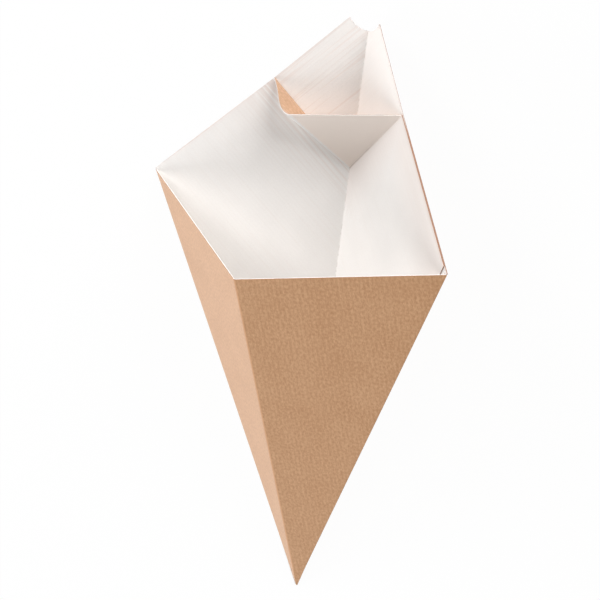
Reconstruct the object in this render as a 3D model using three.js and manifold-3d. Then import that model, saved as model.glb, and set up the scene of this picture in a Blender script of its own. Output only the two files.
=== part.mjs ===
import * as THREE from "three";
import { mergeVertices } from "three/addons/utils/BufferGeometryUtils.js";
import Module from "manifold-3d";

// A four-sided cone for fries, folded and glued from one sheet of thin fluted card, in millimetres.
// The sheet starts at the left corner, goes round the back, the front and the left side, and then
// lines the back a second time. That second layer leaves the back wall part-way up and crosses to
// the other side, which makes a small pocket for sauce behind the room for the fries.
// The cone is modelled upright on its tip, +Z along its axis and its front fold towards -Y, and is
// then laid down on its left back panel, with its tip towards -Y.

// Driving sizes of the folded sheet
const PANEL_ANGLE = 25.15; // angle of each panel at the tip, in degrees
const DEPTH_ANGLE = 10.97; // angle from the axis to the front and back folds, in degrees
const CARD = 0.6; // thickness of the card
const PRESSED = 0.05; // how far two glued layers are pressed into each other
const TIP_BLUNT = 1.5; // what is missing from the sharp tip, along the axis

// Driving lengths along the folds, each from the tip
const FRONT_LENGTH = 175.5; // length of the front fold, up to the low point of the lip
const SIDE_LENGTH = 203; // length of the side folds, up to the left and right corners
const BACK_LENGTH = 257; // length of the back fold, up to the bottom of the thumb notch
const POCKET_LENGTH = 200; // length along the back fold to the bottom of the sauce pocket

// Driving sizes of the back wall, measured flat and across the back fold
const NOTCH_WIDTH = 17;
const NOTCH_DEPTH = 4.5;
const DIVIDER_HEIGHT = 232; // of the divider's ends, along the back fold from the tip
const DIVIDER_WIDTH = 74; // of the divider while it is flat
const BUCKLE_SHARE = 0.29; // where the divider bends, as a share of its width from the left
const SEAM_INSET = 3.5; // how far the sheet's two ends stop short of the fold, along the rim
const NOTCH_STEPS = 10; // straight pieces in each half of the notch
const LAP = 0.5; // how far a panel's plate runs past its folds and outer face before it is trimmed

// Colours of the card
const KRAFT = 0xc09270;
const ROUGHNESS = 0.9;

const wasm = await Module();
wasm.setup();

// Directions of the four folds from the tip
const alpha = THREE.MathUtils.degToRad(DEPTH_ANGLE);
const theta = THREE.MathUtils.degToRad(PANEL_ANGLE);
const beta = Math.acos(Math.cos(theta) / Math.cos(alpha));
const frontFold = new THREE.Vector3(0, -Math.sin(alpha), Math.cos(alpha));
const backFold = new THREE.Vector3(0, Math.sin(alpha), Math.cos(alpha));
const rightFold = new THREE.Vector3(Math.sin(beta), 0, Math.cos(beta));
const leftFold = new THREE.Vector3(-Math.sin(beta), 0, Math.cos(beta));

// A panel's own frame: x along its first fold, y across the panel, z into the cone.
function panelBetween(first, second) {
  const inward = new THREE.Vector3().crossVectors(first, second).normalize();
  const across = new THREE.Vector3().crossVectors(inward, first);
  return new THREE.Matrix4().makeBasis(first, across, inward);
}

const leftBack = panelBetween(backFold, leftFold);
const leftFront = panelBetween(leftFold, frontFold);
const rightFront = panelBetween(frontFold, rightFold);
const rightBack = panelBetween(rightFold, backFold);

// A flat point of a panel at a distance from the tip and an angle from the panel's first fold
function polar(distance, angle) {
  return new THREE.Vector2(distance * Math.cos(angle), distance * Math.sin(angle));
}

// Points of the left half of the back, in the left back panel's frame
const layerStep = CARD - PRESSED;
const notchEnd = new THREE.Vector2(BACK_LENGTH + NOTCH_DEPTH, NOTCH_WIDTH / 2);
const dividerEnd = new THREE.Vector2(DIVIDER_HEIGHT, DIVIDER_WIDTH / 2);
const corner = polar(SIDE_LENGTH, theta);
const pocketBottom = new THREE.Vector2(POCKET_LENGTH, 0);
const lip = [polar(SIDE_LENGTH, 0), polar(FRONT_LENGTH, theta)]; // in the left front panel's frame
const seamEnd = corner.clone().addScaledVector(dividerEnd.clone().sub(corner).normalize(), SEAM_INSET);

// The notch is one round arc through its bottom and its two ends.
function notchArc() {
  const half = NOTCH_WIDTH / 2;
  const radius = (half * half + NOTCH_DEPTH * NOTCH_DEPTH) / (2 * NOTCH_DEPTH);
  const centre = BACK_LENGTH + radius;
  const sweep = Math.asin(Math.min(half / radius, 1));
  const end = NOTCH_DEPTH > radius ? Math.PI - sweep : sweep;
  const points = [];
  for (let i = 0; i < NOTCH_STEPS; i++) {
    const turn = (end * i) / NOTCH_STEPS;
    points.push(new THREE.Vector2(centre - radius * Math.cos(turn), radius * Math.sin(turn)));
  }
  return points;
}

// A panel of the right half mirrors one of the left half, so it starts at its other fold.
function mirrored(points) {
  return points.map((p) => polar(p.length(), theta - Math.atan2(p.y, p.x))).reverse();
}

// The flat wedge under a rim. It laps past both folds, where the cone's outer faces trim it.
function wedge(rim) {
  const pastFirst = new THREE.Vector2(0, -LAP);
  const pastLast = new THREE.Vector2(-Math.sin(theta), Math.cos(theta)).multiplyScalar(LAP);
  const behindTip = polar(LAP / Math.sin(theta / 2), theta / 2).negate();
  return [behindTip, rim[0].clone().add(pastFirst), ...rim, rim.at(-1).clone().add(pastLast)];
}

// The same for a rim that ends at a free edge of the sheet, which stops short of the fold
function freeWedge(rim) {
  return wedge(rim).slice(0, -1);
}

function solidOf(geometry) {
  geometry.deleteAttribute("normal");
  geometry.deleteAttribute("uv");
  const merged = mergeVertices(geometry, 1e-4);
  const mesh = new wasm.Mesh({
    numProp: 3,
    vertProperties: merged.attributes.position.array,
    triVerts: new Uint32Array(merged.index.array),
  });
  return new wasm.Manifold(mesh);
}

// A flat plate in a frame of its own, from one height to another along that frame's z
function plate(frame, outline, from, to) {
  const settings = { depth: to - from, bevelEnabled: false };
  const geometry = new THREE.ExtrudeGeometry(new THREE.Shape(outline), settings);
  geometry.translate(0, 0, from);
  geometry.applyMatrix4(frame);
  return solidOf(geometry);
}

// One panel of card, down to a depth below the outer face
function panelPlate(panel, outline, depth) {
  return plate(panel, outline, -LAP, depth);
}

// The room inside the four outer faces, as one body with a blunt tip
function outerPyramid() {
  const folds = [backFold, leftFold, frontFold, rightFold];
  const reach = 2 * (BACK_LENGTH + NOTCH_DEPTH);
  const near = folds.map((fold) => fold.clone().multiplyScalar(TIP_BLUNT / fold.z));
  const far = folds.map((fold) => fold.clone().multiplyScalar(reach / fold.z));
  const positions = [...near, ...far].flatMap((p) => p.toArray());
  const faces = [0, 3, 2, 0, 2, 1, 4, 5, 6, 4, 6, 7];
  for (let i = 0; i < 4; i++) {
    const next = (i + 1) % 4;
    faces.push(i, next, next + 4, i, next + 4, i + 4);
  }
  const geometry = new THREE.BufferGeometry();
  geometry.setAttribute("position", new THREE.Float32BufferAttribute(positions, 3));
  geometry.setIndex(faces);
  return geometry;
}

// The first time round: left back, right back and right front panels
function outerLayer() {
  const rim = [...notchArc(), notchEnd, dividerEnd];
  return panelPlate(leftBack, freeWedge([...rim, seamEnd]), CARD)
    .add(panelPlate(rightBack, mirrored(wedge([...rim, corner])), CARD))
    .add(panelPlate(rightFront, mirrored(wedge(lip)), CARD));
}

// The second time round: left side, then the lining of the back below the divider. The lining's
// upper edge runs on by half the card's thickness, inside the foot of the divider. This layer lies
// inside a pyramid that is moved along the front fold, away from the back's outer layer.
function innerLayer() {
  const foot = CARD / 2;
  const upper = dividerEnd.clone().add(new THREE.Vector2(foot, -foot));
  const bottom = pocketBottom.clone().add(new THREE.Vector2(foot, 0));
  const depth = layerStep + CARD;
  const lining = [bottom, upper, dividerEnd];
  const shifted = outerPyramid();
  const inward = new THREE.Vector3().setFromMatrixColumn(leftBack, 2);
  const shift = frontFold.clone().multiplyScalar(layerStep / frontFold.dot(inward));
  shifted.translate(shift.x, shift.y, shift.z);
  return panelPlate(leftFront, wedge(lip), CARD)
    .add(panelPlate(leftBack, wedge([...lining, corner]), depth))
    .add(panelPlate(rightBack, mirrored(freeWedge([...lining, seamEnd])), depth))
    .intersect(solidOf(shifted));
}

// A flat point of the back's left half, at the back of the lining, folded into place
function folded(point, side) {
  const place = new THREE.Vector3(point.x, point.y, layerStep).applyMatrix4(leftBack);
  place.x *= side;
  return place;
}

// The divider's bend at its rim keeps its flat distance to both ends and to the pocket's bottom.
function bucklePoint(left, right, bottom) {
  const flat = new THREE.Vector2(DIVIDER_HEIGHT, DIVIDER_WIDTH * (0.5 - BUCKLE_SHARE));
  const toLeft = DIVIDER_WIDTH * BUCKLE_SHARE;
  const toRight = DIVIDER_WIDTH - toLeft;
  const toBottom = flat.distanceTo(pocketBottom);
  const across = right.clone().sub(left);
  const span = across.length();
  across.normalize();
  const down = bottom.clone().sub(left);
  const along = down.dot(across);
  down.addScaledVector(across, -along);
  const fall = down.length();
  down.normalize();
  const out = new THREE.Vector3().crossVectors(across, down);
  if (out.y > 0) out.negate();
  const x = (toLeft ** 2 - toRight ** 2 + span ** 2) / (2 * span);
  const y = (toLeft ** 2 - toBottom ** 2 + along ** 2 + fall ** 2) / (2 * fall) - (along * x) / fall;
  const z = Math.sqrt(Math.max(toLeft ** 2 - x ** 2 - y ** 2, 0));
  return left.clone().addScaledVector(across, x).addScaledVector(down, y).addScaledVector(out, z);
}

// A flat facet of the divider, its thickness on the pocket's side
function facet(a, b, c) {
  const along = b.clone().sub(a).normalize();
  const normal = new THREE.Vector3().crossVectors(along, c.clone().sub(a)).normalize();
  const across = new THREE.Vector3().crossVectors(normal, along);
  const frame = new THREE.Matrix4().makeBasis(along, across, normal).setPosition(a);
  const inverse = frame.clone().invert();
  const outline = [a, b, c].map((p) => {
    const local = p.clone().applyMatrix4(inverse);
    return new THREE.Vector2(local.x, local.y);
  });
  return plate(frame, outline, 0, CARD);
}

// The upper part of the lining, which leaves the back and buckles across the cone
function divider() {
  const left = folded(dividerEnd, 1);
  const right = folded(dividerEnd, -1);
  const bottom = folded(pocketBottom, 1).setX(0);
  const buckle = bucklePoint(left, right, bottom);
  return facet(left, buckle, bottom).add(facet(buckle, right, bottom));
}

const outside = outerLayer().add(divider()).intersect(solidOf(outerPyramid()));
const whole = outside.add(innerLayer()).getMesh();
const geometry = new THREE.BufferGeometry();
geometry.setAttribute("position", new THREE.BufferAttribute(whole.vertProperties, 3));
geometry.setIndex(new THREE.BufferAttribute(whole.triVerts, 1));
geometry.computeVertexNormals();

const kraft = new THREE.MeshStandardMaterial({ color: KRAFT, roughness: ROUGHNESS, metalness: 0 });
const cone = new THREE.Mesh(geometry, kraft);
cone.name = "folded_cone";

// Laid down on its left back panel, with the tip towards -Y
const up = new THREE.Vector3().setFromMatrixColumn(leftBack, 2);
const forward = new THREE.Vector3(0, 0, 1).projectOnPlane(up).normalize();
const sideways = new THREE.Vector3().crossVectors(forward, up);
const lying = new THREE.Group();
lying.setRotationFromMatrix(new THREE.Matrix4().makeBasis(sideways, forward, up).transpose());
lying.add(cone);

// The part's origin is under the middle of its box.
const box = new THREE.Box3().setFromObject(lying, true);
lying.position.set(-(box.min.x + box.max.x) / 2, -(box.min.y + box.max.y) / 2, -box.min.z);
const part = new THREE.Group();
part.add(lying);

export default part;
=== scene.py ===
"""A folded card cone for fries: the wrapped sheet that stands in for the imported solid, and its stage."""

import math

import bpy
from bpy.props import FloatProperty, FloatVectorProperty, PointerProperty
from mathutils import Matrix, Vector


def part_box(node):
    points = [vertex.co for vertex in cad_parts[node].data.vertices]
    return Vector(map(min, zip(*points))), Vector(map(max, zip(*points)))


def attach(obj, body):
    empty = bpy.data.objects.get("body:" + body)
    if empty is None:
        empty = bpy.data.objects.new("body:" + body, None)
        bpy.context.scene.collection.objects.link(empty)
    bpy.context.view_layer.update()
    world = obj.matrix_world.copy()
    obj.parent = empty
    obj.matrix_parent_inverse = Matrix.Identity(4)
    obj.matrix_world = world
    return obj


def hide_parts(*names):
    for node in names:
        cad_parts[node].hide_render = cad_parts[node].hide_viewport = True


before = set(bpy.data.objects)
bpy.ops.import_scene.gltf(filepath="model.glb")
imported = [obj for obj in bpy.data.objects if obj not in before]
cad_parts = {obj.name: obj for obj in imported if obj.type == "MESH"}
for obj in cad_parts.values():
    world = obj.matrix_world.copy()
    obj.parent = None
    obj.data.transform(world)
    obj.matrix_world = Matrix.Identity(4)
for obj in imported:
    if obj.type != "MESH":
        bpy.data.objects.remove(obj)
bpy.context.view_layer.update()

bl_info = {
    "name": "Fries cone",
    "version": (1, 0, 0),
    "blender": (4, 5, 0),
    "location": "3D View > Sidebar > Fries cone",
    "description": "Makes a folded card cone with a sauce pocket, and the plain stage that it lies on",
    "category": "Object",
}

MM = 0.001

# Where the camera stands, in metres, and which way its picture's right and top point
CAMERA_PLACE = (0.16451, 0.21269, 0.58993)
CAMERA_RIGHT = (0.9573, 0.0379, -0.2865)
CAMERA_TOP = (-0.1254, 0.9476, -0.2939)
CAMERA_LENS = 90.0
CAMERA_SENSOR = 36.0
CAMERA_NEAR = 0.01

# How finely the sheet is divided, from the tip to the rim and from fold to fold
ROWS = 56
PANEL_COLUMNS = 16
LEAST_SHARE = 0.002
LEAST_GAP = 0.3
ZONE_STEPS = (0.0, 0.35, 0.7, 1.0)
NOTCH_STEPS = 12
SMOOTH_ANGLE = math.radians(32)

# The same for the divider, whose rows lie closer together at its foot
DIVIDER_ROWS = 16
ROW_SPREAD = 1.5
BUCKLE_COLUMNS = 9
SAME_TURN = 1e-6
DIVIDER_END_TURN = 1e-3

# The sheet near its tip: what is blunt, and how its thickness and folds narrow with the distance
TIP_START = 1.5 * MM
LINING_TIP_START = 0.3 * MM
TIP_TAPER = 0.12
ZONE_TAPER = 0.05

# The search for the way in from a point to the card's other side, which is cut off where it is long
MITRE_ROUNDS = 40
MITRE_STEP = 0.5
LONGEST_MITRE = 1.6

# The search for a column's rim: its rounds, how far a ray may pass a line's end, what is parallel
RIM_ROUNDS = 5
END_SLACK = 0.002
PARALLEL = 1e-12

# The lining's free edge keeps this far from the fold, down to the tip
FREE_EDGE_INSET = 2.2 * MM
FREE_EDGE_TURN = 0.3

# Rows close to the rim, how far in the rim is told apart, and how far the outer rim peeks out
RIM_ROWS = (1.3 * MM, 0.35 * MM)
RIM_FAR = 5.0 * MM
RIM_PEEK = 0.55 * MM

# How strongly the flutes show on each panel, and how far they do along the divider's left crease
PANEL_STREAKS = (0.1, 0.14, 0.1, 0.1, 0.1, 0.9)
STREAK_REACH = 11.0 * MM
STREAK_FADE = 18.0 * MM

# Where shade is painted on the lining beside the divider: at its left crease, more widely there, and at
# its foot
CREASE_REACH = 6.0 * MM
CREASE_HEIGHT = 16.0 * MM
WIDE_REACH = 32.0 * MM
WIDE_RISE = 1.4
WIDE_SHADE = 0.38
FOOT_REACH = 19.0 * MM
FOOT_SHADE = 0.5

# Half the width of the painted highlight along the buckle
RIDGE_WIDTH = 0.6 * MM

# How brown the cut edge is on each panel, at the notch and on the divider: most along the flutes
PANEL_CUTS = (1.0, 0.15, 0.0, 0.0, 0.25, 0.8)
LINED_CUT = 1.0
NOTCH_CUT = 0.1
NOTCH_END_CUT = 0.5
NOTCH_END = math.radians(0.05)
DIVIDER_CUT = 0.15

# The outer left back panel's flutes run along its rim, turned about a place on the back fold
OUTER_TURN = math.radians(-6.6)
OUTER_PIVOT = 232.0 * MM

# The panels in the order of the sheet, from the lining's free edge to the outer one's
LINED_RIGHT, LINED_LEFT, LEFT_FRONT, RIGHT_FRONT, RIGHT_BACK, LEFT_BACK = range(6)

# The numbers that the mesh keeps at its points, for the finishes: crease, foot and pocket carry painted
# shade, ridge a painted highlight, divider and single painted light
MARKS = ("fold", "rim", "streaks", "brown_cut", "divider", "crease", "ridge", "foot", "single", "pocket")

# The order of the finishes on the sheet
OUTSIDE, INSIDE, CUT = range(3)

WHITEST = (1.0, 1.0, 1.0, 1.0)


def length(name, description, default):
    """A property for a length, given in millimetres and kept in metres."""
    return FloatProperty(
        name=name, description=description, default=default * MM, unit="LENGTH", precision=5
    )


def angle(name, description, default):
    """A property for an angle, given in degrees and kept in radians."""
    return FloatProperty(
        name=name, description=description, default=math.radians(default), subtype="ANGLE"
    )


def power(name, description, default):
    """A property for a lamp's power, in watts."""
    return FloatProperty(name=name, description=description, default=default, min=0.0, unit="POWER")


def colour(name, description, default):
    """A property for a colour, given as it looks on a screen and kept as light."""
    linear = [c / 12.92 if c < 0.04045 else ((c + 0.055) / 1.055) ** 2.4 for c in default]
    return FloatVectorProperty(
        name=name, description=description, default=linear, size=3, min=0.0, max=1.0, subtype="COLOR"
    )


class FRIES_PG_sizes(bpy.types.PropertyGroup):
    """The sizes of the folded sheet."""

    panel_angle: angle("Panel angle", "Angle of each panel at the tip", 25.15)
    depth_angle: angle("Depth angle", "Angle from the axis to the front and back folds", 10.97)
    card: length("Card", "Thickness of the card", 0.42)
    layer_step: length("Layer step", "How far the lining lies inside the outer layer", 0.43)
    front_fold: length("Front fold", "From the tip to the low point of the lip", 175.5)
    side_fold: length("Side folds", "From the tip to the left and right corners", 203)
    back_fold: length("Back fold", "From the tip to the bottom of the thumb notch", 257)
    pocket_fold: length("Pocket", "From the tip to the bottom of the sauce pocket", 200)
    notch_width: length("Notch width", "Width of the thumb notch", 17)
    notch_depth: length("Notch depth", "Depth of the thumb notch", 4.5)
    divider_height: length("Divider height", "From the tip to the divider's ends", 232)
    divider_width: length("Divider width", "Width of the divider while flat", 74)
    buckle_share: FloatProperty(
        name="Buckle", description="Where the divider bends, from its left end",
        default=0.29, min=0.05, max=0.95, subtype="FACTOR",
    )
    seam_inset: length("Seam inset", "How far the sheet's ends stop short of the fold", 3.5)
    fold_round: length("Fold rounding", "Half the width of the strip that bends at a fold", 0.75)


class FRIES_PG_finishes(bpy.types.PropertyGroup):
    """The colours of the card, and of the painted light and shade on it."""

    kraft: colour("Kraft", "Light fibres of the card's brown outside", (0.842, 0.662, 0.5))
    kraft_dark: colour("Dark kraft", "Dark fibres of the card's brown outside", (0.732, 0.532, 0.358))
    rubbed: colour("Rubbed kraft", "The outside where it is folded or cut", (0.80, 0.59, 0.42))
    white: colour("White", "Matt white inside of the card", (0.955, 0.942, 0.93))
    # Painted light: this colour lifts the divider's wide facet lighter and warmer than the white, and at
    # 0.62 makes its kraft side paler
    divider: colour("Divider", "The divider's inside, with brown showing through", (0.99, 0.945, 0.91))
    # This colour serves the real flute streaks and, darkened, the painted shade beside the divider, in the
    # pocket and at the divider's foot, and the dashes along folds
    streak_and_shade: colour("Streak", "The inside over a strained flute", (0.885, 0.808, 0.77))
    pressed: colour("Pressed rim", "The inside along a rim cut along the flutes", (0.89, 0.83, 0.80))
    core: colour("Core", "Brown core where a cut runs along the flutes", (0.665, 0.505, 0.415))
    flute_pitch: length("Flute pitch", "Distance from one flute to the next", 1.8)


class FRIES_PG_stage(bpy.types.PropertyGroup):
    """The floor and the lamps."""

    floor: colour("Floor", "Pale floor under the cone", (0.96, 0.96, 0.96))
    sky: FloatProperty(name="Sky", description="Strength of the even light", default=0.12, min=0.0)
    lamp_size: length("Lamp size", "Width of each soft lamp", 1260)
    lamp_away: length("Lamp distance", "How far each lamp stands from the cone", 2000)
    lamp_height: angle("Lamp height", "Angle of each lamp above the floor", 25)
    mouth_lamp: power("Mouth lamp", "Power of the lamp that faces the mouth from the right", 31.5)
    notch_lamp: power("Notch lamp", "Power of the lamp that faces the mouth from the left", 32.0)
    side_lamp: power("Side lamp", "Power of the lamp that faces the left side", 21.0)
    tip_lamp: power("Tip lamp", "Power of the lamp that faces the tip", 9.0)


# The shape of the folded sheet


class Panel:
    """One flat panel between two folds: x along its first fold, y across, z into the cone."""

    def __init__(self, first, second, apex, blank_start):
        self.first = first
        self.second = second
        self.apex = apex
        self.blank_start = blank_start
        self.inward = first.cross(second).normalized()
        self.across = self.inward.cross(first)
        self.back_across = second.cross(self.inward)

    def point(self, distance, turn):
        """The place at a distance from the apex, turned from the first fold."""
        return self.apex + distance * (math.cos(turn) * self.first + math.sin(turn) * self.across)


def folds(sizes):
    """Directions of the front, right, back and left folds of the cone, standing on its tip."""
    alpha = sizes.depth_angle
    beta = math.acos(math.cos(sizes.panel_angle) / math.cos(alpha))
    front = Vector((0, -math.sin(alpha), math.cos(alpha)))
    right = Vector((math.sin(beta), 0, math.cos(beta)))
    back = Vector((0, math.sin(alpha), math.cos(alpha)))
    left = Vector((-math.sin(beta), 0, math.cos(beta)))
    return front, right, back, left


def wrapped_panels(sizes):
    """The six panels in the order of the sheet."""
    front, right, back, left = folds(sizes)
    theta = sizes.panel_angle
    inward = back.cross(left).normalized()
    lining_apex = front * (sizes.layer_step / front.dot(inward))
    outer_apex = Vector((0, 0, 0))
    return [
        Panel(right, back, lining_apex, -3 * theta),
        Panel(back, left, lining_apex, -2 * theta),
        Panel(left, front, lining_apex, -theta),
        Panel(front, right, outer_apex, 0),
        Panel(right, back, outer_apex, theta),
        Panel(back, left, outer_apex, 2 * theta),
    ]


def polar(distance, turn):
    """A flat point at a distance and a turn from the x axis."""
    return Vector((distance * math.cos(turn), distance * math.sin(turn)))


def ray_length(outline, turn):
    """How far a ray from the origin goes before it meets an outline of flat points."""
    ahead = Vector((math.cos(turn), math.sin(turn)))
    side = Vector((-ahead.y, ahead.x))
    for a, b in zip(outline, outline[1:]):
        from_a, from_b = a.dot(side), b.dot(side)
        if abs(from_a - from_b) < PARALLEL:
            continue
        share = from_a / (from_a - from_b)
        if -END_SLACK <= share <= 1 + END_SLACK:
            return (a + (b - a) * share).dot(ahead)
    end = min((outline[0], outline[-1]), key=lambda p: abs(p.dot(side)))
    return end.dot(ahead)


def notch_arc(sizes):
    """Half of the thumb notch, one round arc from the back fold to the notch's end."""
    half = sizes.notch_width / 2
    radius = (half * half + sizes.notch_depth**2) / (2 * sizes.notch_depth)
    sweep = math.asin(min(half / radius, 1))
    turns = [sweep * i / NOTCH_STEPS for i in range(NOTCH_STEPS + 1)]
    centre = sizes.back_fold + radius
    return [Vector((centre - radius * math.cos(t), radius * math.sin(t))) for t in turns]


class Outlines:
    """Where the sheet ends, in flat points: x along the back or front fold, y away from it."""

    def __init__(self, sizes, panels):
        theta = sizes.panel_angle
        self.corner = polar(sizes.side_fold, theta)
        self.divider_end = Vector((sizes.divider_height, sizes.divider_width / 2))
        self.pocket = Vector((sizes.pocket_fold, 0))
        self.notch = notch_arc(sizes)
        rim = (self.divider_end - self.corner).normalized()
        self.seam_end = self.corner + rim * sizes.seam_inset
        self.lip = [Vector((sizes.front_fold, 0)), self.corner]
        lining = panels[LINED_LEFT]
        self.back_shift = Vector((lining.apex.dot(lining.first), lining.apex.dot(lining.across)))
        self.front_shift = Vector((lining.apex.length, 0))

    def outer_back(self):
        """The back wall's rim, from the notch to the corner."""
        return [*self.notch, self.divider_end, self.corner]

    def lining_crease(self):
        """Where the lining leaves the back, and its rim beyond the divider's end."""
        return [p - self.back_shift for p in (self.pocket, self.divider_end, self.corner)]

    def divider_rim(self):
        """The divider's rim while flat, from the back fold to its end."""
        top = Vector((self.divider_end.x, 0))
        return [top - self.back_shift, self.divider_end - self.back_shift]

    def crease_line(self, panel):
        """The divider's left crease runs along the flutes: its y on the flat sheet."""
        end = self.divider_end - self.back_shift
        return polar(end.length, panel.blank_start + turn_of(end)).y

    def inner_lip(self):
        """The lip as the lining's shifted panels see it."""
        return [p - self.front_shift for p in self.lip]


def turn_of(point):
    """The turn of a flat point from the x axis."""
    return math.atan2(point.y, point.x)


def kept_share(value):
    """A value kept between 0 and 1."""
    return min(max(value, 0.0), 1.0)


def fading(away, reach):
    """1 at a line, and less the further away, until it is gone well past the reach."""
    return math.exp(-((away / reach) ** 2))


class Column:
    """One line of the sheet from the tip to its rim: a share of a panel, or a place in a fold's strip."""

    def __init__(self, panel, share, zone=None):
        self.panel = panel
        self.share = share
        self.zone = zone


class Sheet:
    """The outer face of the whole folded sheet, as one grid of points with their flat places."""

    def __init__(self, sizes):
        self.sizes = sizes
        self.panels = wrapped_panels(sizes)
        self.outlines = Outlines(sizes, self.panels)
        self.theta = sizes.panel_angle
        self.points = []
        self.flat = []
        self.reach = []
        self.marks = {name: [] for name in MARKS}
        self.faces = []
        self.creases = ([], [])

    # Turns of a panel's columns

    def strip(self, distance):
        """Half the width of a fold's rounded strip, as a turn at a distance from the apex."""
        return min(self.sizes.fold_round / distance, ZONE_TAPER)

    def limits(self, index, distance):
        """The turns between which a panel is flat, at a distance from its apex."""
        strip = self.strip(distance)
        low = strip
        if index == LINED_RIGHT:
            low = max(self.free_turn(), min(FREE_EDGE_INSET / distance, FREE_EDGE_TURN))
        high = self.theta - strip
        if index == LEFT_BACK:
            high = self.theta - self.free_turn()
        return low, high

    def free_turn(self):
        """How far the sheet's two free ends stay from the fold."""
        return self.theta - turn_of(self.outlines.seam_end)

    def turn(self, column, distance):
        """Where a column stands in its panel, as a turn from the panel's first fold."""
        if column.zone is None:
            low, high = self.limits(column.panel, distance)
            return low + column.share * (high - low)
        strip = self.strip(distance) * column.zone
        return strip if column.share == 0 else self.theta - strip

    # Columns of the whole sheet

    def away_from(self, index, turn):
        """A turn measured from the back fold or the front fold instead of the panel's first fold."""
        return self.theta - turn if index in (LINED_RIGHT, LEFT_FRONT, RIGHT_BACK) else turn

    def outline(self, index):
        """The rim of a panel, from its back or front fold outwards."""
        shapes = self.outlines
        if index in (LINED_RIGHT, LINED_LEFT):
            return shapes.lining_crease()
        if index == LEFT_FRONT:
            return shapes.inner_lip()
        if index == RIGHT_FRONT:
            return shapes.lip
        return shapes.outer_back()

    def special_turns(self, index):
        """Turns at which a panel needs a column, because its rim has a corner there."""
        outline = self.outline(index)
        turns = [self.away_from(index, turn_of(p)) for p in outline[1:-1]]
        return [(t, p.length) for t, p in zip(turns, outline[1:-1])]

    def shares(self, index):
        """Shares of a panel's flat width at which its columns stand."""
        fixed = []
        for turn, distance in self.special_turns(index):
            low, high = self.limits(index, distance)
            share = (turn - low) / (high - low)
            if LEAST_SHARE < share < 1 - LEAST_SHARE:
                fixed.append(share)
        even = [i / PANEL_COLUMNS for i in range(1, PANEL_COLUMNS)]
        gap = LEAST_GAP / PANEL_COLUMNS
        free = [e for e in even if all(abs(e - f) > gap for f in fixed)]
        found = sorted(fixed + free)
        if index == LINED_RIGHT:
            return sorted(found + self.between([f for f in found if f >= max(fixed)] + [1.0]))
        if index == LINED_LEFT:
            return sorted(found + self.between([0.0] + [f for f in found if f <= min(fixed)]))
        return found

    @staticmethod
    def between(shares):
        """The finer columns that the divider needs between the given ones."""
        steps = [i / BUCKLE_COLUMNS for i in range(1, BUCKLE_COLUMNS)]
        return [a + (b - a) * step for a, b in zip(shares, shares[1:]) for step in steps]

    def columns(self):
        """All columns in the order of the sheet, with those of each fold's strip."""
        found = []
        for index in range(len(self.panels)):
            if index == LINED_RIGHT:
                found.append(Column(index, 0.0))
            else:
                found += [Column(index, 0, zone) for zone in ZONE_STEPS]
            found += [Column(index, share) for share in self.shares(index)]
            if index == LEFT_BACK:
                found.append(Column(index, 1.0))
            else:
                found += [Column(index, 1, zone) for zone in reversed(ZONE_STEPS[1:])]
        return found

    # Places

    def place(self, index, distance, turn):
        """A point of the outer face, rounded where it is near a fold."""
        panel = self.panels[index]
        width = min(self.sizes.fold_round, ZONE_TAPER * distance)
        if index > LINED_RIGHT:
            near = self.near_fold(panel.first, distance, turn, width)
            if near is not None:
                other = self.panels[index - 1].back_across
                return panel.apex + near[0] + self.bent(width, near[1], other, panel.across)
        if index < LEFT_BACK:
            near = self.near_fold(panel.second, distance, self.theta - turn, width)
            if near is not None:
                other = self.panels[index + 1].across
                return panel.apex + near[0] + self.bent(width, near[1], other, panel.back_across)
        return panel.point(distance, turn)

    def near_fold(self, fold, distance, turn, width):
        """Along the fold and away from it, if a place lies in the fold's strip."""
        away = distance * math.sin(turn)
        if away >= width:
            return None
        return fold * (distance * math.cos(turn)), away

    def bent(self, width, away, other, own):
        """The strip's round section: a curve from one panel to the other, under the sharp fold."""
        t = (1 + away / width) / 2
        return width * ((1 - t) ** 2 * other + t**2 * own)

    def add(self, place, flat, reach, **marks):
        """Keeps a point of the outer face, and gives its number."""
        self.points.append(place)
        self.flat.append(flat)
        self.reach.append(reach)
        for name, kept in self.marks.items():
            kept.append(marks.get(name, 0.0))
        return len(self.points) - 1

    def add_at(self, column, distance, rim):
        """Keeps the point of a column at a distance, with its marks."""
        index = column.panel
        turn = self.turn(column, distance)
        flat = self.flat_place(index, distance, turn)
        marks = {
            "fold": 0.0 if column.zone is None else 1.0 - column.zone,
            "rim": min(rim - distance, RIM_FAR),
            "streaks": self.streaks(index, flat),
            "brown_cut": self.brown_cut(index, turn),
            # The pocket mark carries the painted shade on the walls of the sauce pocket
            "pocket": 1.0 if index in (RIGHT_BACK, LEFT_BACK) else 0.0,
            # The crease mark carries the painted shade beside the divider
            "crease": self.painted_crease_shade(index, flat, distance, rim),
        }
        return self.add(self.place(index, distance, turn), flat, distance, **marks)

    def flat_place(self, index, distance, turn):
        """Where a place lies on the flat sheet, whose flutes run along x."""
        start = self.panels[index].blank_start
        flat = polar(distance, start + turn)
        if index != LEFT_BACK:
            return flat
        pivot = polar(OUTER_PIVOT, start)
        return pivot + Matrix.Rotation(OUTER_TURN, 2) @ (flat - pivot)

    def brown_cut(self, index, turn):
        """How brown the cut edge is, which is least in the notch."""
        if index not in (RIGHT_BACK, LEFT_BACK):
            return PANEL_CUTS[index]
        away = self.away_from(index, turn)
        notch = turn_of(self.outlines.notch[-1])
        if abs(away - notch) < NOTCH_END:
            return NOTCH_END_CUT
        if away < notch:
            return NOTCH_CUT
        lined = away > turn_of(self.outlines.divider_end)
        return LINED_CUT if lined else PANEL_CUTS[index]

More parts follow.
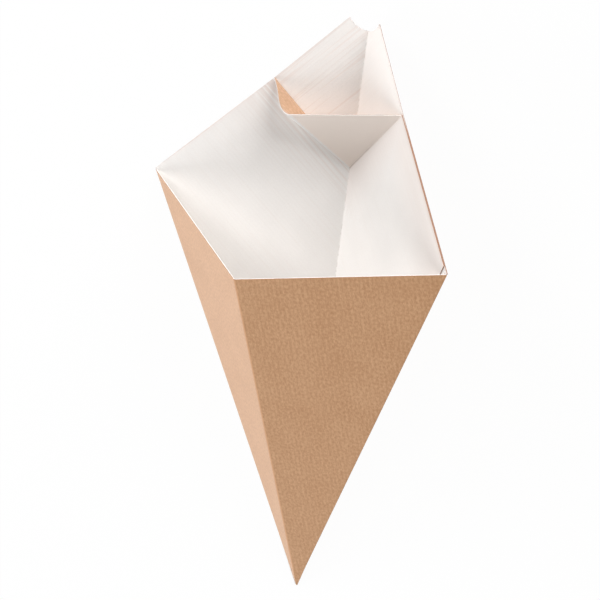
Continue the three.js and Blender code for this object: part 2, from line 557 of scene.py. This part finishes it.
    def painted_crease_shade(self, index, flat, distance, rim):
        """How much shade is painted on the lining beside the divider, most where it lifts towards the left
        end, and near the divider's foot on the right lining.
        """
        if index == LINED_RIGHT and distance > self.sizes.pocket_fold - FOOT_REACH:
            return FOOT_SHADE * fading(rim - distance, FOOT_REACH)
        if index != LINED_LEFT:
            return 0.0
        away = flat.y - self.outlines.crease_line(self.panels[LINED_LEFT])
        above = distance - self.sizes.divider_height
        near = fading(away, CREASE_REACH) * kept_share(above / CREASE_HEIGHT + 1)
        wide = fading(away, WIDE_REACH) * kept_share(above / WIDE_REACH + WIDE_RISE)
        return (1 - WIDE_SHADE) * near + WIDE_SHADE * wide

    def streaks(self, index, flat):
        """How strongly the flutes show: most in the pocket and beside the divider's crease."""
        if index != LINED_LEFT:
            return PANEL_STREAKS[index]
        away = flat.y - self.outlines.crease_line(self.panels[LINED_LEFT])
        height = (flat.length - self.sizes.pocket_fold) / STREAK_FADE + 1
        return PANEL_STREAKS[index] + fading(away, STREAK_REACH) * kept_share(height)

    def rim_distance(self, column, outline):
        """How far a column goes from the apex to the rim."""
        distance = self.sizes.side_fold
        for _ in range(RIM_ROUNDS):
            turn = self.away_from(column.panel, self.turn(column, distance))
            distance = ray_length(outline, turn)
        return distance - self.peek(column.panel, turn)

    def peek(self, index, turn):
        """How far the lining's rim stops short of the outer layer's, on the left back panel."""
        start = turn_of(self.outlines.divider_end)
        if index != LINED_LEFT or turn <= start:
            return 0.0
        return RIM_PEEK * math.sin(math.pi * (turn - start) / (self.theta - start))

    def column_points(self, column):
        """The points of a column from the tip to the rim, with rows close to the rim."""
        rim = self.rim_distance(column, self.outline(column.panel))
        start = LINING_TIP_START if column.panel <= LEFT_FRONT else TIP_START
        inner = rim - RIM_ROWS[0]
        even = ROWS - len(RIM_ROWS)
        distances = [start + (inner - start) * i / even for i in range(even)]
        distances += [rim - away for away in RIM_ROWS] + [rim]
        return [self.add_at(column, d, rim) for d in distances]

    def build(self):
        """Makes the grid of the wrapped sheet and then the divider."""
        columns = self.columns()
        grid = [self.column_points(c) for c in columns]
        for left, right in zip(grid, grid[1:]):
            for i in range(ROWS):
                self.faces.append((left[i], right[i], right[i + 1], left[i + 1]))
        self.build_divider(columns, grid)

    # The divider, a curved sheet that keeps its distances to the pocket's bottom

    def lining_turn(self, column, distance):
        """The turn from the back fold, positive on the left."""
        turn = self.turn(column, distance)
        return turn if column.panel == LINED_LEFT else turn - self.theta

    def build_divider(self, columns, grid):
        """Makes the divider's rows on from the lining's rim, and joins them."""
        shapes = self.outlines
        end = shapes.divider_end - shapes.back_shift
        pocket = shapes.pocket - shapes.back_shift
        bend = Bend(self, end, pocket)
        limit = turn_of(end) - SAME_TURN
        rows = []
        for column, points in zip(columns, grid):
            if column.panel > LINED_LEFT:
                continue
            rim = self.rim_distance(column, shapes.divider_rim())
            turn = self.lining_turn(column, rim)
            if abs(turn) <= limit:
                rows.append(self.divider_column(column, points[-1], rim, bend))
            elif abs(turn) < limit + DIVIDER_END_TURN:
                rows.append([points[-1]] * (DIVIDER_ROWS + 1))
        for left, right in zip(rows, rows[1:]):
            for i in range(DIVIDER_ROWS):
                corners = (left[i], right[i], right[i + 1], left[i + 1])
                face = tuple(dict.fromkeys(corners))
                if len(face) > 2:
                    self.faces.append(face)

    def divider_column(self, column, first, rim, bend):
        """The points of one column of the divider, from the lining's rim to its own."""
        turn = self.lining_turn(column, rim)
        if turn != 0:
            self.creases[turn > 0].append(first)
        # The divider's right foot is a valley fold; its mark carries a painted shadow line
        if turn < 0:
            self.marks["foot"][first] = 1.0
        foot = self.reach[first]
        row = [first]
        for i in range(1, DIVIDER_ROWS + 1):
            distance = foot + (rim - foot) * (i / DIVIDER_ROWS) ** ROW_SPREAD
            at = polar(distance, self.lining_turn(column, distance))
            flat = polar(distance, self.panels[LINED_LEFT].blank_start + turn_of(at))
            ridge, facet = bend.ridge(at)
            marks = {
                "rim": min(rim - distance, RIM_FAR),
                "streaks": PANEL_STREAKS[LINED_RIGHT],
                "brown_cut": DIVIDER_CUT,
                "single": 1.0,
                # The ridge mark carries a painted highlight along the buckle
                "ridge": ridge,
                # The divider mark carries painted light on the wide facet
                "divider": facet,
            }
            row.append(self.add(bend.place(at), flat, distance, **marks))
        return row


class Bend:
    """How the divider stands: a fan of straight lines from the pocket's bottom to its curved rim."""

    # Half the angle over which the buckle is rounded, and how many ways are averaged there
    SOFTNESS = math.radians(1.1)
    SAMPLES = 7

    # How far the wide facet bows, as a share of its length
    BOW = 0.095

    def __init__(self, sheet, end, pocket):
        sizes = sheet.sizes
        self.pocket_flat = pocket
        right_panel, left_panel = sheet.panels[LINED_RIGHT], sheet.panels[LINED_LEFT]
        self.bottom = left_panel.point(pocket.x, 0)
        left = left_panel.point(end.length, turn_of(end))
        right = right_panel.point(end.length, sheet.theta - turn_of(end))
        buckle_flat = Vector((end.x, end.y * (1 - 2 * sizes.buckle_share)))
        buckle = self.buckle(left, right, end, buckle_flat)
        self.turns = [turn_of(Vector((end.x, s)) - pocket) for s in (-end.y, buckle_flat.y, end.y)]
        self.ways = [(p - self.bottom).normalized() for p in (right, buckle, left)]

    def buckle(self, left, right, end, flat):
        """The bend's place at the rim, at its flat distances from both ends and the bottom."""
        to_left = (end - flat).length
        to_right = (Vector((end.x, -end.y)) - flat).length
        to_bottom = (flat - self.pocket_flat).length
        across = right - left
        span = across.length
        across.normalize()
        down = self.bottom - left
        along = down.dot(across)
        down -= across * along
        fall = down.length
        down.normalize()
        out = across.cross(down)
        if out.y > 0:
            out.negate()
        x = (to_left**2 - to_right**2 + span**2) / (2 * span)
        y = (to_left**2 - to_bottom**2 + along**2 + fall**2) / (2 * fall) - along * x / fall
        z = math.sqrt(max(to_left**2 - x * x - y * y, 0))
        return left + across * x + down * y + out * z

    def straight_way(self, turn):
        """The direction of a line of the fan while both facets are flat."""
        low, middle, high = self.turns
        if turn < middle:
            share = (turn - low) / (middle - low)
            return self.ways[0].slerp(self.ways[1], kept_share(share))
        share = (turn - middle) / (high - middle)
        way = self.ways[1].slerp(self.ways[2], kept_share(share))
        normal = self.ways[1].cross(self.ways[2]).normalized()
        wave = self.BOW * math.sin(math.pi * share) * (1 - share)
        return (way + normal * wave).normalized()

    def way(self, turn):
        """The same, rounded at the buckle."""
        room = min(turn - self.turns[0], self.turns[2] - turn, self.SOFTNESS)
        total = Vector((0, 0, 0))
        for i in range(self.SAMPLES):
            offset = 2 * i / (self.SAMPLES - 1) - 1
            total += self.straight_way(turn + room * offset)
        return total.normalized()

    def ridge(self, at):
        """How near a place is to the buckle's ridge, and whether it is past it on the wide facet."""
        away = at - self.pocket_flat
        aside = away.length * (self.turns[1] - turn_of(away))
        return fading(aside, RIDGE_WIDTH), kept_share(0.5 + aside / RIDGE_WIDTH / 2)

    def place(self, at):
        """Where a flat point of the divider stands in the folded cone."""
        away = at - self.pocket_flat
        return self.bottom + self.way(turn_of(away)) * away.length


# Thickness


def face_normal(points, face):
    """The normal of a face with three or four corners."""
    corners = [points[i] for i in face]
    return (corners[2] - corners[0]).cross(corners[-1] - corners[1]).normalized()


def mitre(normals):
    """The shortest way in that is one thickness deep behind every face around a point."""
    mean = Vector((0, 0, 0))
    for n in normals:
        mean += n
    mean.normalize()
    step = mean.copy()
    for _ in range(MITRE_ROUNDS):
        for n in normals:
            step += n * (1 - step.dot(n)) * MITRE_STEP
    if step.length > LONGEST_MITRE:
        step = step.normalized() * LONGEST_MITRE
    return step


def thicken(sheet, card):
    """The closed solid of the sheet: its points, and its faces with their finishes."""
    around = [[] for _ in sheet.points]
    for face in sheet.faces:
        normal = -face_normal(sheet.points, face)
        for corner in face:
            around[corner].append(normal)
    ways = [mitre(normals) for normals in around]
    for crease in sheet.creases:
        shared = sum((ways[i] for i in crease), Vector((0, 0, 0))) / len(crease)
        for i in crease:
            ways[i] = shared
    inner = []
    for place, way, reach in zip(sheet.points, ways, sheet.reach):
        inner.append(place + way * min(card, TIP_TAPER * reach))
    count = len(sheet.points)
    faces = [(face, OUTSIDE) for face in sheet.faces]
    faces += [(tuple(count + i for i in reversed(face)), INSIDE) for face in sheet.faces]
    for a, b in border(sheet.faces):
        faces.append(((b, a, count + a, count + b), CUT))
    return sheet.points + inner, faces


def border(faces):
    """The directed sides that only one face has."""
    sides = {}
    for face in faces:
        for a, b in zip(face, face[1:] + face[:1]):
            sides[(a, b)] = sides.get((a, b), 0) + 1
    return [side for side in sides if (side[1], side[0]) not in sides]


def laid_down(panels):
    """The turn that lays the standing cone on its left back panel, tip towards -Y."""
    up = panels[LEFT_BACK].inward
    axis = Vector((0, 0, 1))
    forward = (axis - up * axis.dot(up)).normalized()
    sideways = forward.cross(up)
    return Matrix((sideways, forward, up))


def landmark_box(sizes, sheet, turned):
    """The box of the corners that reach furthest, once the cone is laid down."""
    panels, shapes = sheet.panels, sheet.outlines
    theta = sizes.panel_angle
    blunt = [f * (TIP_START / f.z) for f in folds(sizes)]
    far_end = shapes.notch[-1]
    left = panels[LINED_LEFT].point(ray_length(shapes.lining_crease(), theta), theta)
    right = panels[RIGHT_FRONT].point(sizes.side_fold, theta)
    top = panels[LEFT_BACK].point(far_end.length, turn_of(far_end))
    corners = [turned @ p for p in (*blunt, left, right, top)]
    low = Vector([min(c[i] for c in corners) for i in range(3)])
    high = Vector([max(c[i] for c in corners) for i in range(3)])
    return low, high


def card_mesh(sizes):
    """The whole card as one closed mesh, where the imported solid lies."""
    sheet = Sheet(sizes)
    sheet.build()
    points, faces = thicken(sheet, sizes.card)
    turned = laid_down(sheet.panels)
    low, high = landmark_box(sizes, sheet, turned)
    packed_low, packed_high = (Vector(v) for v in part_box("folded_cone"))
    shift = (packed_low + packed_high - low - high) / 2
    shift.z = packed_low.z - low.z
    mesh = bpy.data.meshes.new("folded_card")
    mesh.from_pydata([turned @ p + shift for p in points], [], [f for f, _ in faces])
    for polygon, (_, finish) in zip(mesh.polygons, faces):
        polygon.material_index = finish
        polygon.use_smooth = True
    write_flat_places(mesh, sheet)
    mesh.set_sharp_from_angle(angle=SMOOTH_ANGLE)
    mesh.validate()
    mesh.update()
    return mesh


def write_flat_places(mesh, sheet):
    """Keeps each corner's flat place on the sheet as a map, in metres, and each point's marks."""
    count = len(sheet.points)
    flat_map = mesh.uv_layers.new(name="Blank")
    places = []
    for loop in mesh.loops:
        places.extend(sheet.flat[loop.vertex_index % count])
    flat_map.uv.foreach_set("vector", places)
    for name, values in sheet.marks.items():
        numbers = mesh.attributes.new(name, "FLOAT", "POINT")
        numbers.data.foreach_set("value", values + values)
    depth = mesh.attributes.new("depth", "FLOAT", "POINT")
    depth.data.foreach_set("value", [0.0] * count + [1.0] * count)


# Finishes

# How fine each noise is, per metre: for the long ones along the flutes, across them and upwards
CLOUDS = 70.0
MOTTLE = 780.0
FIBRES = (700.0, 3000.0, 1.0)
SPECKS = 900.0
WHITE_CLOUDS = 60.0
GRAIN = 1500.0
LINES = (14.0, 900.0, 1.0)
DASHES = 520.0

# How far each effect hides the kraft below it
SPECKED = 0.35
RUBBED_FOLD = 0.8
RUBBED_RIM = 0.55
# Painted light bounced from the white inside onto the divider's kraft side
DIVIDER_BOUNCE_LIGHT = 0.2

# How far each effect hides the white below it
STREAKED = 0.32
STRIPPED = 0.5
# Painted shade beside the divider, and how much of it the raised flutes lose as a painted highlight
CREASE_SHADE = 0.78
RAISED_HIGHLIGHT = 0.5
# Painted shade on the pocket walls, slightly darker and warmer
POCKET_SHADE = 0.08
# Painted highlight along the buckle's ridge
RIDGE_HIGHLIGHT = 0.8
# Painted shadow line in the valley fold at the divider's foot
FOOT_LINE_SHADE = 0.6
DASHED = 0.4

# Where the strips along the rim begin and where they are full, from the rim inwards
RUBBED_STRIP = (0.9 * MM, 0.1 * MM)
PRESSED_STRIP = (1.35 * MM, 1.1 * MM)

# The relief of each surface, and how high the buckle's ridge stands in it
RELIEF = 0.02 * MM
CUT_RELIEF = 0.03 * MM
RIDGE_HEIGHT = 6.0

# How much the surfaces shine, and the kraft's soft sheen
GLOSS = 0.3
SHEEN_ROUGHNESS = 0.4
KRAFT_SHEEN = 0.5


class Wire:
    """A socket of a material, so that shader maths reads as plain expressions."""

    def __init__(self, tree, socket=None):
        self.tree = tree
        self.socket = socket

    def node(self, kind, settings, inputs, output=0):
        """Any node: its type, its settings, and the values or links of its sockets."""
        made = self.tree.nodes.new(kind)
        for name, value in settings.items():
            setattr(made, name, value)
        for name, value in inputs.items():
            if isinstance(value, Wire):
                self.tree.links.new(value.socket, made.inputs[name])
            else:
                made.inputs[name].default_value = value
        return Wire(self.tree, made.outputs[output]) if made.outputs else made

    def sum_node(self, operation, first, second):
        """A node that works out one number from two."""
        return self.node("ShaderNodeMath", {"operation": operation}, {0: first, 1: second})

    def __add__(self, other):
        return self.sum_node("ADD", self, other)

    def __radd__(self, other):
        return self.sum_node("ADD", other, self)

    def __sub__(self, other):
        return self.sum_node("SUBTRACT", self, other)

    def __rsub__(self, other):
        return self.sum_node("SUBTRACT", other, self)

    def __mul__(self, other):
        return self.sum_node("MULTIPLY", self, other)

    def __rmul__(self, other):
        return self.sum_node("MULTIPLY", other, self)


def mixed(wire, share, first, second):
    """One colour going over into another: sockets 6 and 7 hold the colours, output 2 the mix."""
    settings = {"data_type": "RGBA"}
    return wire.node("ShaderNodeMix", settings, {0: share, 6: first, 7: second}, output=2)


def shade(colour, factor):
    """A colour made darker or lighter, with the full alpha that sockets want."""
    return (*(c * factor for c in colour), 1.0)


def noise_at(wire, place, scale, detail):
    """Cloudy noise over the sheet, between 0 and 1."""
    return wire.node("ShaderNodeTexNoise", {}, {"Vector": place, "Scale": scale, "Detail": detail})


def long_noise(wire, place, stretch, detail):
    """The same, with its own fineness along the flutes and across them."""
    stretched = wire.node("ShaderNodeVectorMath", {"operation": "MULTIPLY"}, {0: place, 1: stretch})
    return noise_at(wire, stretched, 1.0, detail)


def new_material(name):
    """An empty material, the wire that fills it, and the place on the flat sheet."""
    material = bpy.data.materials.new(name)
    material.use_nodes = True
    tree = material.node_tree
    tree.nodes.clear()
    wire = Wire(tree)
    place = wire.node("ShaderNodeUVMap", {"uv_map": "Blank"}, {})
    return material, wire, place


def finish_material(wire, base, normal, roughness, sheen=0.0):
    """Ends a material with its surface."""
    inputs = {"Base Color": base, "Roughness": roughness, "Normal": normal}
    inputs |= {"Specular IOR Level": GLOSS, "Sheen Weight": sheen, "Sheen Roughness": SHEEN_ROUGHNESS}
    shader = wire.node("ShaderNodeBsdfPrincipled", {}, inputs)
    wire.node("ShaderNodeOutputMaterial", {}, {"Surface": shader})


def flutes(wire, place, pitch):
    """The wave of the fluted core, from -1 to 1, which runs along the sheet's x."""
    across = wire.node("ShaderNodeSeparateXYZ", {}, {"Vector": place}, output=1)
    wave = across * (2 * math.pi / pitch)
    return wire.node("ShaderNodeMath", {"operation": "COSINE"}, {0: wave})


def mark(wire, name):
    """A number that the mesh keeps at its points."""
    return wire.node("ShaderNodeAttribute", {"attribute_name": name}, {}, output="Fac")


def ranged(wire, value, low, high):
    """A value moved smoothly from its own range to 0 and 1, and kept between them."""
    inputs = {"Value": value, "From Min": low, "From Max": high}
    return wire.node("ShaderNodeMapRange", {"interpolation_type": "SMOOTHSTEP"}, inputs)


def bumped(wire, height, distance):
    """The surface's direction over a relief of that height."""
    return wire.node("ShaderNodeBump", {}, {"Height": height, "Distance": distance, "Strength": 1.0})


def kraft_material(finishes):
    """Brown kraft paper: mottled, with fine fibres, the flutes behind it and rubbed folds, and painted
    light that makes the divider's kraft side paler.
    """
    material, wire, place = new_material("kraft_outside")
    clouds = noise_at(wire, place, CLOUDS, 2.0)
    mottle = noise_at(wire, place, MOTTLE, 3.0)
    fibres = long_noise(wire, place, FIBRES, 2.0)
    wave = flutes(wire, place, finishes.flute_pitch)
    tone = 0.14 * clouds + 0.56 * mottle + 0.55 * fibres + 0.03 * wave
    dark, light = shade(finishes.kraft_dark, 1.0), shade(finishes.kraft, 1.0)
    paper = mixed(wire, ranged(wire, tone, 0.42, 0.86), dark, light)
    specks = ranged(wire, noise_at(wire, place, SPECKS, 1.0), 0.72, 0.8)
    speckled = mixed(wire, specks * SPECKED, paper, shade(finishes.kraft_dark, 0.75))
    fold = ranged(wire, mark(wire, "fold"), 0.0, 0.8)
    folded = mixed(wire, fold * RUBBED_FOLD, speckled, shade(finishes.rubbed, 1.0))
    rim = ranged(wire, mark(wire, "rim"), *RUBBED_STRIP)
    rimmed = mixed(wire, rim * RUBBED_RIM, folded, shade(finishes.rubbed, 0.94))
    # Painted light: the divider's kraft side paler, as if lit by light bounced from the white inside
    base = mixed(wire, mark(wire, "single") * DIVIDER_BOUNCE_LIGHT, rimmed, shade(finishes.divider, 0.62))
    height = 0.45 * wave + 0.6 * fibres + 0.7 * mottle
    finish_material(wire, base, bumped(wire, height, RELIEF), 0.55 + 0.2 * mottle, KRAFT_SHEEN)
    return material


def white_material(finishes):
    """Matt white liner: fine grain, and flutes that show most where the card was strained, with painted
    shade beside the divider, in the pocket and at the divider's foot, a painted highlight along the buckle
    and painted light on the divider.
    """
    material, wire, place = new_material("white_inside")
    clouds = noise_at(wire, place, WHITE_CLOUDS, 3.0)
    grain = noise_at(wire, place, GRAIN, 2.0)
    wave = flutes(wire, place, finishes.flute_pitch)
    lines = long_noise(wire, place, LINES, 1.0)
    strain = mark(wire, "streaks")
    line = ranged(wire, lines, 0.54, 0.64)
    raised = ranged(wire, lines, 0.44, 0.36)
    tone = 0.55 * clouds + 0.45 * grain
    dark, light = shade(finishes.white, 0.95), shade(finishes.white, 1.0)
    paper = mixed(wire, ranged(wire, tone, 0.3, 0.7), dark, light)
    streaked = mixed(wire, line * strain * STREAKED, paper, shade(finishes.streak_and_shade, 1.0))
    strip = ranged(wire, mark(wire, "rim"), *PRESSED_STRIP) * mark(wire, "brown_cut")
    stripped = mixed(wire, strip * STRIPPED, streaked, shade(finishes.pressed, 1.0))
    # Painted shade beside the divider, lighter on the raised flute lines as a painted highlight
    painted_shade_share = mark(wire, "crease") * (CREASE_SHADE - RAISED_HIGHLIGHT * raised * strain)
    crease_shaded = mixed(wire, painted_shade_share, stripped, shade(finishes.streak_and_shade, 0.84))
    # Painted shade: the pocket walls slightly darker and warmer than the lining
    pocket_shaded = mixed(wire, mark(wire, "pocket") * POCKET_SHADE, crease_shaded, shade(finishes.streak_and_shade, 1.0))
    # Painted light: the divider's wide facet lighter and warmer than the white
    divider_lit = mixed(wire, mark(wire, "divider"), pocket_shaded, shade(finishes.divider, 1.0))
    # Painted highlight: a white line along the buckle's ridge, where the convex fold catches the light
    ridge_highlighted = mixed(wire, mark(wire, "ridge") * RIDGE_HIGHLIGHT, divider_lit, WHITEST)
    # Painted shadow: a dark line in the valley fold where the divider meets the right lining
    foot_line_shaded = mixed(wire, mark(wire, "foot") * FOOT_LINE_SHADE, ridge_highlighted, shade(finishes.streak_and_shade, 0.55))
    fold = mark(wire, "fold")
    dashes = ranged(wire, fold, 0.4, 1.0) * ranged(wire, noise_at(wire, place, DASHES, 1.0), 0.5, 0.62)
    base = mixed(wire, dashes * DASHED, foot_line_shaded, shade(finishes.streak_and_shade, 0.6))
    height = wave * (0.14 + 0.35 * strain + 0.9 * fold) + 0.6 * grain + (raised - line) * strain
    height = height + mark(wire, "ridge") * RIDGE_HEIGHT
    finish_material(wire, base, bumped(wire, height, RELIEF), 0.6 + 0.15 * grain)
    return material


def cut_material(finishes):
    """The cut edge: pale where the blade pressed the white liner over it, brown along the flutes."""
    material, wire, place = new_material("cut_edge")
    grain = noise_at(wire, place, GRAIN, 2.0)
    pale = mixed(wire, grain, shade(finishes.white, 0.94), shade(finishes.white, 1.0))
    brown = mixed(wire, grain, shade(finishes.core, 0.85), shade(finishes.core, 1.1))
    edge = mixed(wire, mark(wire, "brown_cut"), pale, brown)
    outer_line = ranged(wire, mark(wire, "depth") + 0.3 * grain, 0.55, 0.4)
    base = mixed(wire, outer_line, edge, shade(finishes.core, 0.9))
    finish_material(wire, base, bumped(wire, grain, CUT_RELIEF), 0.8)
    return material


# Operators


def show(piece):
    """Puts an object into the scene."""
    bpy.context.scene.collection.objects.link(piece)
    return piece


class FRIES_OT_card(bpy.types.Operator):
    """Fold the fluted card into the cone, with its lining and the divider of the sauce pocket"""

    bl_idname = "fries_cone.card"
    bl_label = "Folded card"

    def execute(self, context):
        sizes = context.scene.fries_sizes
        finishes = context.scene.fries_finishes
        piece = show(bpy.data.objects.new("folded_card", card_mesh(sizes)))
        for make in (kraft_material, white_material, cut_material):
            piece.data.materials.append(make(finishes))
        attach(piece, "root")
        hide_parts("folded_cone")
        return {"FINISHED"}


# The floor reaches this far each way, a little under the cone, and looks nearly all white
FLOOR_HALF = 3.0
FLOOR_DROP = 0.1 * MM
FLOOR_WHITE = 0.96


def floor_material(stage):
    """A pale matt floor that the camera sees as white, with the object's shadow still on it."""
    material = bpy.data.materials.new("floor")
    material.use_nodes = True
    material.node_tree.nodes.clear()
    wire = Wire(material.node_tree)
    matt = wire.node("ShaderNodeBsdfDiffuse", {}, {"Color": (*stage.floor, 1.0)})
    glow = wire.node("ShaderNodeEmission", {}, {"Color": WHITEST, "Strength": 1.0})
    camera_ray = wire.node("ShaderNodeLightPath", {}, {}, output="Is Camera Ray")
    lifted = wire.node("ShaderNodeMixShader", {}, {0: camera_ray * FLOOR_WHITE, 1: matt, 2: glow})
    wire.node("ShaderNodeOutputMaterial", {}, {"Surface": lifted})
    return material


# Where each lamp stands, in degrees from +X
LAMP_BEARINGS = {"mouth_lamp": 45, "notch_lamp": 135, "side_lamp": 225, "tip_lamp": 270}


def add_lamp(stage, name, bearing):
    """A round soft lamp that looks at the cone, at a bearing from +X in degrees."""
    lamp = bpy.data.lights.new(name, "AREA")
    lamp.shape = "DISK"
    lamp.size = stage.lamp_size
    lamp.energy = getattr(stage, name)
    holder = show(bpy.data.objects.new(name, lamp))
    level = stage.lamp_away * math.cos(stage.lamp_height)
    at = polar(level, math.radians(bearing))
    holder.location = (at.x, at.y, stage.lamp_away * math.sin(stage.lamp_height))
    holder.rotation_euler = holder.location.to_track_quat("Z", "Y").to_euler()


def add_sky(strength):
    """Even light from all around, which the camera sees as white."""
    world = bpy.data.worlds.new("sky")
    world.use_nodes = True
    world.node_tree.nodes.clear()
    wire = Wire(world.node_tree)
    path = wire.node("ShaderNodeLightPath", {}, {}, output="Is Camera Ray")
    even = wire.node("ShaderNodeBackground", {}, {"Color": WHITEST, "Strength": strength})
    seen = wire.node("ShaderNodeBackground", {}, {"Color": WHITEST, "Strength": 1.0})
    both = wire.node("ShaderNodeMixShader", {}, {0: path, 1: even, 2: seen})
    wire.node("ShaderNodeOutputWorld", {}, {"Surface": both})
    bpy.context.scene.world = world


class FRIES_OT_stage(bpy.types.Operator):
    """Set up the plain pale floor, the soft lamps and the camera"""

    bl_idname = "fries_cone.stage"
    bl_label = "Stage"

    def execute(self, context):
        stage = context.scene.fries_stage
        mesh = bpy.data.meshes.new("floor")
        corners = [(-FLOOR_HALF, -FLOOR_HALF, 0), (FLOOR_HALF, -FLOOR_HALF, 0)]
        corners += [(FLOOR_HALF, FLOOR_HALF, 0), (-FLOOR_HALF, FLOOR_HALF, 0)]
        mesh.from_pydata(corners, [], [(0, 1, 2, 3)])
        floor = show(bpy.data.objects.new("floor", mesh))
        floor.location.z = -FLOOR_DROP
        mesh.materials.append(floor_material(stage))
        for name, bearing in LAMP_BEARINGS.items():
            add_lamp(stage, name, bearing)
        add_sky(stage.sky)
        self.add_camera(context)
        return {"FINISHED"}

    def add_camera(self, context):
        """The camera that looks at the cone as the photograph does."""
        camera = bpy.data.cameras.new("camera")
        camera.lens = CAMERA_LENS
        camera.sensor_width = CAMERA_SENSOR
        camera.sensor_fit = "HORIZONTAL"
        camera.clip_start = CAMERA_NEAR
        holder = show(bpy.data.objects.new("camera", camera))
        right = Vector(CAMERA_RIGHT).normalized()
        back = right.cross(Vector(CAMERA_TOP)).normalized()
        top = back.cross(right)
        turn = Matrix((right, top, back)).transposed()
        holder.matrix_world = Matrix.Translation(CAMERA_PLACE) @ turn.to_4x4()
        context.scene.camera = holder


class FRIES_PT_cone(bpy.types.Panel):
    """The sizes, colours and steps of the fries cone."""

    bl_idname = "FRIES_PT_cone"
    bl_label = "Fries cone"
    bl_space_type = "VIEW_3D"
    bl_region_type = "UI"
    bl_category = "Fries cone"

    def draw(self, context):
        scene = context.scene
        for group in (scene.fries_sizes, scene.fries_finishes, scene.fries_stage):
            box = self.layout.box()
            for name in type(group).__annotations__:
                box.prop(group, name)
        self.layout.operator(FRIES_OT_card.bl_idname)
        self.layout.operator(FRIES_OT_stage.bl_idname)


GROUPS = {
    "fries_sizes": FRIES_PG_sizes,
    "fries_finishes": FRIES_PG_finishes,
    "fries_stage": FRIES_PG_stage,
}
CLASSES = (*GROUPS.values(), FRIES_OT_card, FRIES_OT_stage, FRIES_PT_cone)


def register():
    for cls in CLASSES:
        bpy.utils.register_class(cls)
    for name, group in GROUPS.items():
        setattr(bpy.types.Scene, name, PointerProperty(type=group))


def unregister():
    for name in GROUPS:
        delattr(bpy.types.Scene, name)
    for cls in reversed(CLASSES):
        bpy.utils.unregister_class(cls)


def main():
    register()
    bpy.context.scene.view_settings.view_transform = "Standard"
    bpy.ops.fries_cone.card()
    bpy.ops.fries_cone.stage()


if __name__ == "__main__":
    main()
